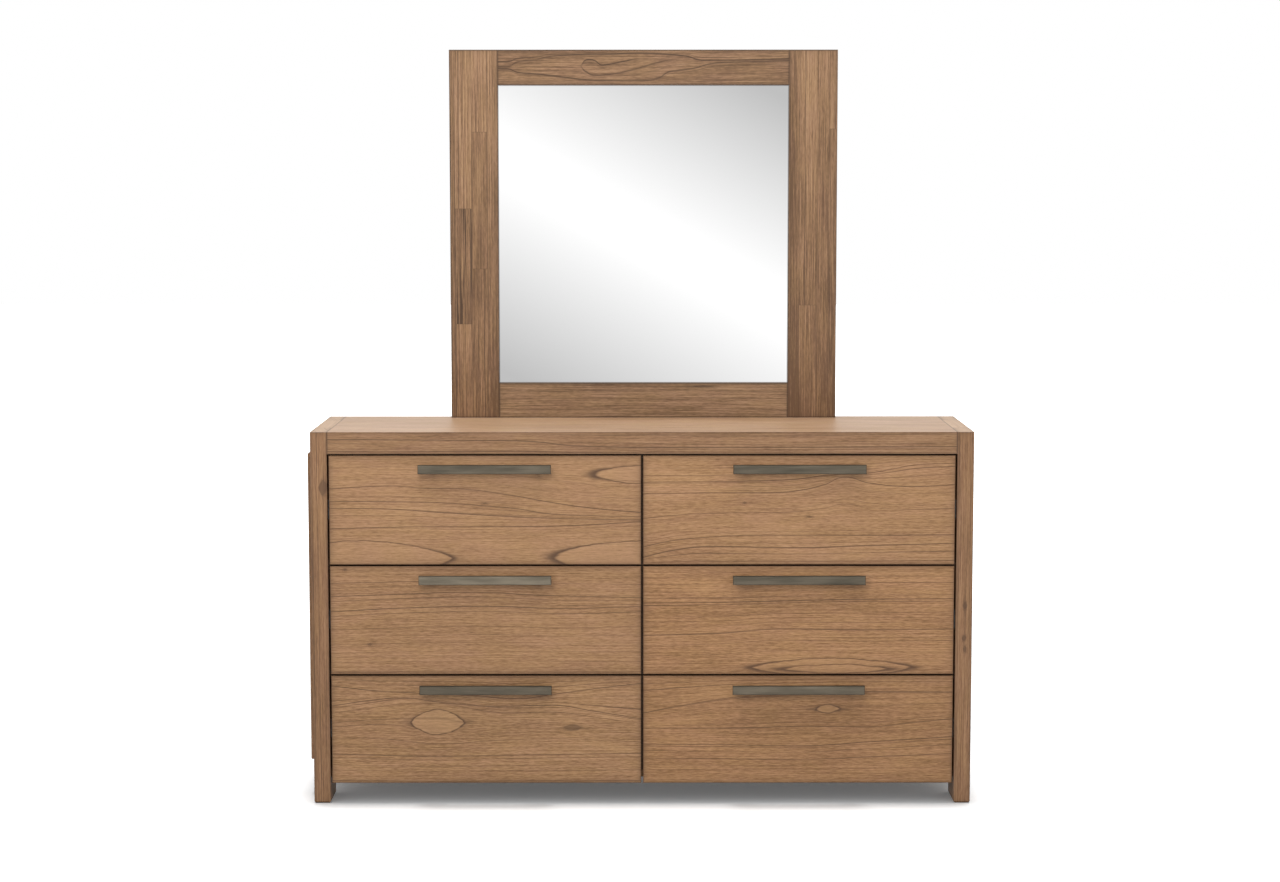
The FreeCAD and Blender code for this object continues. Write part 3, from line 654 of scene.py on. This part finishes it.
# -------------------- the figure of each board
# Guides, eyes and knots are placed in shares of the board's length and height. The half sizes of
# eyes and knots are in metres. An eye's last numbers are its roundness, the paleness of its inside
# and how dark its smears are. "drawn" and "line_width" say which part of a guide's line shows, where
# it isn't all, and how wide the lines are.
figures = {
    "drawer_upper_left_front": {
        "guides": [
            [(0, 0.33), (0.2, 0.345), (0.32, 0.35), (0.5, 0.35), (0.68, 0.352), (0.86, 0.37), (1, 0.396)],
            [(0, 0.52), (0.2, 0.51), (0.36, 0.48), (0.6, 0.44), (0.8, 0.42), (1, 0.41)],
            [(0, 0.582), (0.33, 0.573), (0.5, 0.54), (0.6, 0.515), (0.7, 0.47), (0.85, 0.45), (1, 0.44)],
            [(0, 0.697), (0.2, 0.723), (0.3, 0.703), (0.44, 0.692), (0.57, 0.644), (0.71, 0.573),
             (0.84, 0.52), (1, 0.48)],
        ],
        "eyes": [
            (0.101, 0.057, 0.2226, 0.0436, sharp, 0.2, 0.3), (1.028, 0.068, 0.2323, 0.04, blunt, 0.5, 0.4),
            (1.028, 0.83, 0.1343, 0.0225, blunt, 0.5, 0.12),
        ],
        "knots": [(0.5, 0.567, 0.006, 0.002)],
    },
    "drawer_upper_right_front": {
        "guides": [
            [(0, 0.068), (0.1, 0.132), (0.21, 0.164), (0.5, 0.154), (0.72, 0.174), (1, 0.195)],
            [(0, 0.164), (0.1, 0.223), (0.21, 0.252), (0.36, 0.27), (0.72, 0.27), (1, 0.273)],
            [(0, 0.65), (0.25, 0.66), (0.4, 0.66), (0.5, 0.681), (0.58, 0.734), (0.65, 0.803), (0.72, 0.751),
             (0.87, 0.717), (1, 0.734)],
            [(0, 0.757), (0.28, 0.765), (0.5, 0.787), (0.58, 0.818), (0.73, 0.844), (0.8, 0.878),
             (0.87, 0.914), (1, 0.93)],
        ],
        "knots": [(0.325, 0.567, 0.004, 0.003), (0.533, 0.439, 0.007, 0.0025)],
    },
    "drawer_middle_left_front": {
        "guides": [
            [(0, 0.58), (0.2, 0.61), (0.5, 0.63), (0.75, 0.61), (1, 0.63)],
            [(0, 0.72), (0.2, 0.74), (0.45, 0.76), (0.7, 0.73), (1, 0.71)],
        ],
        "knots": [(0.128, 0.278, 0.005, 0.0035), (0.048, 0.97, 0.004, 0.003)],
    },
    "drawer_middle_right_front": {
        "guides": [
            [(0, 0.36), (0.25, 0.38), (0.45, 0.42), (0.7, 0.41), (1, 0.42)],
            [(0, 0.66), (0.3, 0.67), (0.6, 0.69), (1, 0.7)],
        ],
        "eyes": [(0.606, 0.062, 0.196, 0.023, sharp, 0.4, 0.35), (0.62, 0.05, 0.13, 0.011, sharp, 0.4, 0.15)],
    },
    "drawer_lower_left_front": {
        "guides": [
            [(0, 0.271), (0.34, 0.251), (0.62, 0.262), (1, 0.278)],
            [(0, 0.72), (0.12, 0.77), (0.23, 0.795), (0.35, 0.755), (0.54, 0.717), (0.71, 0.727),
             (0.85, 0.67), (1, 0.6)],
            [(0, 0.907), (0.15, 0.86), (0.24, 0.846), (0.46, 0.815), (0.6, 0.788), (0.71, 0.826),
             (0.86, 0.884), (1, 0.931)],
        ],
        "eyes": [(0.342, 0.568, 0.0645, 0.031, sharp, 0.65, 0.5)],
        "knots": [(0.779, 0.517, 0.022, 0.008)],
    },
    "drawer_lower_right_front": {
        "guides": [
            [(0, 0.365), (0.28, 0.356), (0.5, 0.346), (0.73, 0.384), (1, 0.432)],
            [(0, 0.513), (0.29, 0.513), (0.51, 0.529), (0.73, 0.524), (0.88, 0.567), (1, 0.601)],
            [(0, 0.655), (0.14, 0.731), (0.29, 0.797), (0.44, 0.821), (0.73, 0.852), (1, 0.85)],
        ],
        "eyes": [(0.596, 0.692, 0.029, 0.0103, sharp, 0.6, 0.85)],
    },
    "post_front_left": {"knots": [(0.852, 0.76, 0.02, 0.0095)]},
    "post_front_right": {
        "knots": [(0.535, 0.58, 0.01, 0.005), (0.447, 0.52, 0.008, 0.005), (0.418, 0.58, 0.008, 0.004)],
    },
    "front_top_rail": {
        "guides": [[(0, 0.66), (0.2, 0.63), (0.305, 0.6), (0.407, 0.36), (0.55, 0.3), (1, 0.33)]],
    },
    "mirror_rail_top": {
        "guides": [
            [(0, 0.47), (0.04, 0.45), (0.055, 0.4), (0.075, 0.35), (0.142, 0.306), (0.231, 0.218),
             (0.35, 0.13), (0.5, 0.13), (0.55, 0.194), (0.575, 0.32), (0.592, 0.382), (0.664, 0.459),
             (0.746, 0.618), (0.794, 0.645), (0.856, 0.66), (1, 0.69)],
            [(0, 0.485), (0.2, 0.5), (0.283, 0.53), (0.292, 0.45), (0.305, 0.37), (0.341, 0.276),
             (0.396, 0.312), (0.451, 0.41), (0.506, 0.53), (0.547, 0.63), (0.602, 0.7), (0.66, 0.7),
             (0.712, 0.655), (0.78, 0.665), (0.856, 0.675), (1, 0.705)],
            [(0, 0.5), (0.2, 0.52), (0.283, 0.55), (0.292, 0.62), (0.3, 0.69), (0.312, 0.72), (0.33, 0.7),
             (0.348, 0.6), (0.36, 0.565), (0.382, 0.588), (0.437, 0.676), (0.478, 0.735), (0.55, 0.75),
             (0.66, 0.725), (0.712, 0.67), (0.78, 0.68), (0.856, 0.69), (1, 0.72)],
            [(0, 0.515), (0.04, 0.53), (0.055, 0.6), (0.08, 0.676), (0.125, 0.706), (0.176, 0.8),
             (0.28, 0.865), (0.38, 0.875), (0.492, 0.9), (0.56, 0.88), (0.643, 0.82), (0.712, 0.7),
             (0.78, 0.7), (0.856, 0.71), (1, 0.74)],
        ],
        "drawn": {1: (0.283, 0.62), 2: (0.283, 0.5)},
        "line_width": 0.0021,
    },
    "mirror_rail_bottom": {"knots": [(0.708, 0.91, 0.028, 0.003)]},
}

# The blocks that each mirror stile is glued up from, as (width, heights of its joints).
stile_blocks = {
    "mirror_stile_left": [(0.0125, ()), (0.0425, (1.149, 1.441)), (0.0395, (1.289, 1.634)), (0.0275, ())],
    "mirror_stile_right": [(0.0275, ()), (0.0448, (1.197,)), (0.0297, ()), (0.02, (1.642,))],
}
# Which block of each stile has bold stripes, and how much darker each stile is at its foot, as painted shade.
striped_blocks = (7, -1)
stile_foot_shades = (0.35, 0.5)
stile_tones = tinted(frame_tones, (0.99, 0.975, 0.94))
mirror_rail_tints = {"mirror_rail_top": (0.99, 0.98, 0.97), "mirror_rail_bottom": (0.965, 1.01, 1.03)}

# How much darker the fronts are, row by row: painted shade, darker lower down.
row_shades = {"upper": 0.0, "middle": -0.05, "lower": -0.13}
# The tint of each front, how strong its rings and its uneven tones are, and how light each handle is,
# in the drawers' order.
front_tints = ((0.99, 1, 1.01), (0.99, 0.985, 0.97), (0.95, 0.95, 0.95), (1.01, 0.98, 0.925),
               (1.01, 1.03, 1.03), (1, 0.975, 0.92))
front_rings = (0.6, 0.85, 0.9, 1, 0.95, 0.95)
front_contrasts = (0.8, 0.95, 0.95, 1.05, 1, 1)
handle_lightness = (1.01, 0.92, 1.44, 0.95, 0.88, 1.04)
handle_roughness, runner_roughness, zinc_roughness = 0.44, 0.42, 0.35


def stain(node, colours, grain, box=None, **changes):
    """Give a CAD board its wood. Its box is passed where joints hide some of the board."""
    paint(node, wood(node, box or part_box(node), colours, grain, figures.get(node, plain_figure), **changes))


def finish_fronts():
    for index, name in enumerate(drawer_names):
        shade = row_shades[name.split("_")[1]]
        stain(name + "_front", tinted(front_tones, front_tints[index]), "xz", seed=1.7 * index + 0.3,
              waviness=0.005, ring=front_rings[index], contrast=front_contrasts[index], burnish=0.45,
              sides=0.8, shade=shade)


def finish_case():
    for index, node in enumerate((*front_posts, "post_rear_left", "post_rear_right")):
        stain(node, case_tones, "zx", seed=3.1 * index + 9, cap=lit_top_tones, burnish=0.3, shade=0.04, fibre=2.0,
              grit=1.0)
    stain("front_top_rail", rail_tones, "xz", shown_between("front_top_rail", *front_posts), seams="x",
          seed=21.4, burnish=0.3, ring=0.75, shade=0.03, fibre=1.7, grit=1.3)
    stain("top_panel", lit_top_tones, "xy", shown_between("top_panel", *front_posts), seams="x", seed=33.3,
          waviness=0.02, fibre=2.2, grit=0.9, ring=0.5, roughness=0.42, gloss=0.22)
    outer = {"side_rails_lower": "yz", "end_panels": "zy", "side_board_left": "zy", "bottom_panel": "xy",
             "rear_top_rail": "xz"}
    for index, (node, grain) in enumerate(outer.items()):
        stain(node, case_tones, grain, seed=4.7 * index + 40, burnish=0.1)
    # The divider and stretchers behind the gaps take the dark tones of painted shade.
    for index, (node, grain) in enumerate({"centre_divider": "yz", "row_stretchers": "xz"}.items()):
        stain(node, gap_shade_tones, grain, seed=5.3 * index + 25)
    stain("side_rails_upper", case_tones, "yz", seed=37, cap=lit_top_tones, burnish=0.1)
    stain("back_panel", board_tones, "xz", seed=41)


def finish_drawers():
    unplaced = (Vector((0, 0, 0)), Vector((1, 1, 1)))
    box = wood("drawer_wood", unplaced, box_tones, "xz", seed=51, contrast=0.8)
    base = wood("drawer_base", unplaced, base_tones, "yx", seed=57, contrast=0.8)
    runner = metal("runner_steel", runner_colours, runner_roughness, "y")
    for name, lightness in zip(drawer_names, handle_lightness):
        handle = name + "_handle"
        colours = [shaded(colour, lightness) for colour in handle_colours]
        paint(name + "_box", box)
        paint(name + "_base", base)
        paint(handle, metal(handle, colours, handle_roughness, "x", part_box(handle)))
        paint(name + "_runner_inner", runner)
        paint(name + "_runner_middle", runner)
    paint("runner_outer_members", runner)


def finish_mirror():
    paint("mirror_glass", silvered("mirror_glass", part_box("mirror_glass")))
    for index, (node, strips) in enumerate(stile_blocks.items()):
        stain(node, stile_tones, "zx", strips=strips, seams="z", seed=61 + 3 * index, waviness=0.004,
              burnish=0.3, fibre=2.2, grit=1.0, foot=stile_foot_shades[index], striped=striped_blocks[index],
              shade=0.06)
    for index, (node, tint) in enumerate(mirror_rail_tints.items()):
        stain(node, tinted(frame_tones, tint), "xz", shown_between(node, *stile_blocks), seams="xz",
              seed=71 + 3 * index, burnish=0.25, fibre=1.8, grit=1.2, shade=-0.12)
    stain("mirror_backing_board", board_tones, "zx", seed=81)
    stain("mirror_supports", case_tones, "zx", seed=83)
    paint("mirror_support_screws", zinc)


zinc = metal("screw_steel", zinc_colours, zinc_roughness, "y")
finish_fronts()
finish_case()
finish_drawers()
finish_mirror()


# -------------------- small fasteners
turned_sides = 24
cross_arm = math.radians(15)
box_wall = 0.012
screw_spacing_share = 0.8
bottom_thickness = 0.018
tack_pitch = 0.12
tack_inset = 0.03
rebate_clearance = 0.0015
point_width = 0.01
# Where the glazing points stand, as shares of each side of the backing board.
point_places = (0.12, 0.37, 0.63, 0.88)


def circle(angle):
    return 1


def cross(angle):
    """How far out a cross recess reaches at an angle, as a share of its arms."""
    folded = abs((angle + math.pi / 4) % (math.pi / 2) - math.pi / 4)
    return 1 / math.cos(folded) if folded < cross_arm else math.tan(cross_arm) / math.sin(folded)


rightward, rear, upward = Vector((1, 0, 0)), Vector((0, 1, 0)), Vector((0, 0, 1))
# Each ring is (radius, height, outline).
pan_head = [
    (0.0042, -0.0002, circle), (0.0042, 0.0012, circle), (0.0039, 0.0019, circle), (0.0031, 0.0024, circle),
    (0.0024, 0.0026, circle), (0.0021, 0.0026, cross), (0.0014, 0.0011, cross),
]
tack_head = [(0.0032, -0.0001, circle), (0.0032, 0.0004, circle), (0.0022, 0.0009, circle),
             (0.0008, 0.0011, circle)]
# The section of a glazing point, as (from the rebate's wall, up from the board).
point_section = [(0, 0), (0.009, 0), (0.009, 0.0006), (0.0028, 0.0006), (0.0024, 0.0026), (0.0018, 0.0026),
                 (0.002, 0.0006), (0, 0.0006)]


def add_loop(mesh, spots):
    return [mesh.verts.new(spot) for spot in spots]


def add_skin(mesh, loops):
    """Faces between closed loops of as many points, and one at each end."""
    for lower, upper in zip(loops, loops[1:]):
        for index in range(len(lower)):
            following = (index + 1) % len(lower)
            mesh.faces.new((lower[index], lower[following], upper[following], upper[index]))
    mesh.faces.new(reversed(loops[0]))
    mesh.faces.new(loops[-1])


def add_turned(mesh, rings, place):
    """A small turned form that stands on a place and faces the rear."""
    turn = rear.to_track_quat("Z", "Y")
    angles = [2 * math.pi * side / turned_sides for side in range(turned_sides)]
    loops = []
    for radius, height, outline in rings:
        spots = [Vector((math.cos(a), math.sin(a), 0)) * radius * outline(a) for a in angles]
        loops.append(add_loop(mesh, [place + turn @ (spot + Vector((0, 0, height))) for spot in spots]))
    add_skin(mesh, loops)


def add_point(mesh, place, inward):
    """A glazing point: a bent steel tab that holds a board in its rebate."""
    across = inward.cross(rear)
    loops = []
    for side in (-0.5, 0.5):
        start = place + across * side * point_width
        loops.append(add_loop(mesh, [start + inward * along + rear * up for along, up in point_section]))
    add_skin(mesh, loops)


def add_object(name, data):
    thing = bpy.data.objects.new(name, data)
    bpy.context.collection.objects.link(thing)
    return thing


def finish_piece(name, mesh, material, body):
    """Turn a mesh under way into a piece that rides on a body."""
    bmesh.ops.recalc_face_normals(mesh, faces=mesh.faces)
    data = bpy.data.meshes.new(name)
    mesh.to_mesh(data)
    mesh.free()
    data.materials.append(material)
    piece = add_object(name, data)
    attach(piece, body)


def spaced(low, high, pitch):
    """Places from low to high, as near to the pitch as fits."""
    count = round((high - low) / pitch)
    return [low + (high - low) * index / count for index in range(count + 1)]


def add_handle_screws(steel):
    """Two screws through each inner front and front into the handle's feet."""
    for name in drawer_names:
        low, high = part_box(name + "_handle")
        middle = (low + high) / 2
        reach = (high.x - low.x) / 2 * screw_spacing_share
        inner_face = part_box(name + "_box")[0].y + box_wall
        mesh = bmesh.new()
        for hand in (-1, 1):
            add_turned(mesh, pan_head, Vector((middle.x + hand * reach, inner_face, middle.z)))
        finish_piece(name + "_handle_screws", mesh, steel, name)


def add_back_tacks(steel):
    """Tacks through the back panel into the rear edges of the bottom and of the divider."""
    low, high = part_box("back_panel")
    row_height = low.z + bottom_thickness / 2
    column = (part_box("centre_divider")[0].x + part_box("centre_divider")[1].x) / 2
    column_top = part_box("rear_top_rail")[0].z - tack_inset
    places = [(x, row_height) for x in spaced(low.x + tack_inset, high.x - tack_inset, tack_pitch)]
    places += [(column, z) for z in spaced(row_height + tack_inset, column_top, tack_pitch)]
    mesh = bmesh.new()
    for x, z in places:
        add_turned(mesh, tack_head, Vector((x, high.y, z)))
    finish_piece("back_panel_tacks", mesh, steel, "case")


def add_glazing_points(steel):
    """Bent tabs round the rebate that hold the mirror and its backing board."""
    low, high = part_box("mirror_backing_board")
    mesh = bmesh.new()
    for share in point_places:
        x, z = low.x + share * (high.x - low.x), low.z + share * (high.z - low.z)
        add_point(mesh, Vector((low.x - rebate_clearance, high.y, z)), rightward)
        add_point(mesh, Vector((high.x + rebate_clearance, high.y, z)), -rightward)
        add_point(mesh, Vector((x, high.y, low.z - rebate_clearance)), upward)
        add_point(mesh, Vector((x, high.y, high.z + rebate_clearance)), -upward)
    finish_piece("mirror_glazing_points", mesh, steel, "case")


add_handle_screws(zinc)
add_back_tacks(zinc)
add_glazing_points(zinc)


# -------------------- floor, screen, light and camera
def quad(name, corners, material):
    mesh = bpy.data.meshes.new(name)
    mesh.from_pydata(corners, [], [tuple(range(len(corners)))])
    mesh.materials.append(material)
    sheet = add_object(name, mesh)
    return sheet


def seen(n):
    """1 on rays from the camera, or from a mirror or glass that shows the background."""
    path = n.add("ShaderNodeLightPath").outputs
    return n.largest(path["Is Camera Ray"], path["Is Glossy Ray"], path["Is Transmission Ray"])


# The floor's colour where it lights the object, and the colour of its glow. It is seen as white.
floor_bounce = (0.28, 0.28, 0.28, 1)
floor_glow = (0.92, 1, 1.04, 1)
floor_reach = 25
# The floor glows more with the distance from the object, so that it ends in white.
glow_distances = 1.6, 4.5
glow_strengths = 0.089, 0.8

# The sun that lights only the floor: its strength, and its width and lean in degrees.
sun_strength = 2.0
sun_width = 6.6
sun_lean = 2.1


def make_floor():
    material, n = new_material("studio_floor", empty=True)
    position = n.axes(n.add("ShaderNodeTexCoord").outputs["Object"])
    x, y = position["x"], position["y"]
    away = n.math("SQRT", n.plus(n.times(x, x), n.times(y, y)))
    shown = seen(n)
    pale = n.add("ShaderNodeBsdfDiffuse", {"Color": n.mix(shown, floor_bounce, white)})
    glow = n.times(shown, n.spread(away, *glow_distances, *glow_strengths, smooth=True))
    light = n.add("ShaderNodeEmission", {"Color": floor_glow, "Strength": glow})
    total = n.add("ShaderNodeAddShader")
    n.tree.links.new(pale.outputs[0], total.inputs[0])
    n.tree.links.new(light.outputs[0], total.inputs[1])
    n.add("ShaderNodeOutputMaterial", {"Surface": total.outputs[0]})
    corners = [(x * floor_reach, y * floor_reach, 0) for x, y in ((-1, -1), (1, -1), (1, 1), (-1, 1))]
    return quad("studio_floor", corners, material)


# The screen: a place in the middle of its pale band, how steeply that runs, and where beside it the
# grey begins and is full. The grey fades out at the screen's foot and towards its sides.
screen_middle = (0.03, 1.18)
screen_slope = 0.55
screen_band = 0.06, 1.3
screen_foot_fade = 0.2
screen_side_fade = 1.2, 4.5
screen_white = (1.06, 1.06, 1.06, 1)
screen_grey = srgb(192, 192, 192)
screen_distance = 9
screen_half_width = 9
screen_bottom, screen_top = 0.01, 8


def make_screen():
    """A screen behind the camera with a soft pale band across it, which only mirrors show."""
    material, n = new_material("studio_screen", empty=True)
    position = n.axes(n.add("ShaderNodeTexCoord").outputs["Object"])
    sideways = n.times(screen_slope, n.minus(position["x"], screen_middle[0]))
    off_band = n.math("ABSOLUTE", n.plus(sideways, position["z"], -screen_middle[1]))
    aside = n.math("ABSOLUTE", position["x"])
    greyness = n.times(n.spread(off_band, *screen_band),
                       n.spread(position["z"], 0, screen_foot_fade, smooth=True),
                       n.spread(aside, *screen_side_fade, 1, 0, smooth=True))
    colour = n.mix(greyness, screen_white, screen_grey)
    n.add("ShaderNodeOutputMaterial", {"Surface": n.add("ShaderNodeEmission", {"Color": colour}).outputs[0]})
    corners = [(-screen_half_width, screen_bottom), (screen_half_width, screen_bottom),
               (screen_half_width, screen_top), (-screen_half_width, screen_top)]
    screen = quad("studio_screen", [(x, -screen_distance, z) for x, z in corners], material)
    screen.visible_camera = screen.visible_diffuse = screen.visible_shadow = False


# How strong the sky is where it lights the object, and where it shows as the background.
sky_strengths = 0.6, 1


def make_world():
    """A white sky."""
    world = bpy.data.worlds.new("studio")
    bpy.context.scene.world = world
    world.use_nodes = True
    world.node_tree.nodes.clear()
    n = Nodes(world.node_tree)
    strength = n.spread(seen(n), 0, 1, *sky_strengths)
    sky = n.add("ShaderNodeBackground", {"Color": white, "Strength": strength})
    n.add("ShaderNodeOutputWorld", {"Surface": sky.outputs[0]})


# Each lamp's place, the place that it faces, its width and depth, and its power.
key_lamp = (-0.8, -3.7, 2.55), (0, 0, 0.75), (2.0, 1.4), 57
overhead_lamp = (0, -1.3, 3.6), (0, -0.3, 0.9), (3.2, 1.4), 48


def new_lamp(name, kind, facing, power):
    light = bpy.data.lights.new(name, kind)
    light.energy = power
    lamp = add_object(name, light)
    lamp.rotation_euler = facing.to_track_quat("-Z", "Y").to_euler()
    lamp.visible_glossy = False
    return lamp


def soft_light(name, place, target, size, power):
    lamp = new_lamp(name, "AREA", Vector(target) - Vector(place), power)
    lamp.location = place
    lamp.data.shape = "RECTANGLE"
    lamp.data.size, lamp.data.size_y = size
    return lamp


def floor_sun():
    """A sun that stands a little behind the case, so that its shadow falls just before the front."""
    forward = math.tan(math.radians(sun_lean))
    lamp = new_lamp("floor_sun", "SUN", Vector((0, -forward, -1)), sun_strength)
    lamp.data.angle = math.radians(sun_width)
    return lamp


def link_light(lamp, thing, state):
    """Keep one lamp's light off one thing (EXCLUDE), or on that thing alone (INCLUDE)."""
    linked = bpy.data.collections.new(lamp.name + "_link")
    linked.objects.link(thing)
    lamp.light_linking.receiver_collection = linked
    linked.collection_objects[0].light_linking.link_state = state


def make_camera():
    """Placed from the case: its front face, its middle and its height above the floor."""
    left, right = (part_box(post) for post in front_posts)
    case_middle = (left[0].x + right[1].x) / 2
    data = bpy.data.cameras.new("camera")
    data.sensor_fit = "HORIZONTAL"
    data.sensor_width = sensor_width
    data.lens = focal_pixels / image_width * sensor_width
    camera = add_object("camera", data)
    camera.location = (case_middle - camera_left_of_case, left[0].y - camera_before_case, camera_height)
    camera.rotation_euler = (math.pi / 2 - camera_pitch, camera_roll, -camera_yaw)
    bpy.context.scene.camera = camera


floor = make_floor()
make_screen()
make_world()
link_light(soft_light("key", *key_lamp), floor, "EXCLUDE")
link_light(soft_light("overhead", *overhead_lamp), floor, "EXCLUDE")
link_light(floor_sun(), floor, "INCLUDE")
make_camera()
bpy.context.scene.view_settings.view_transform = "Standard"
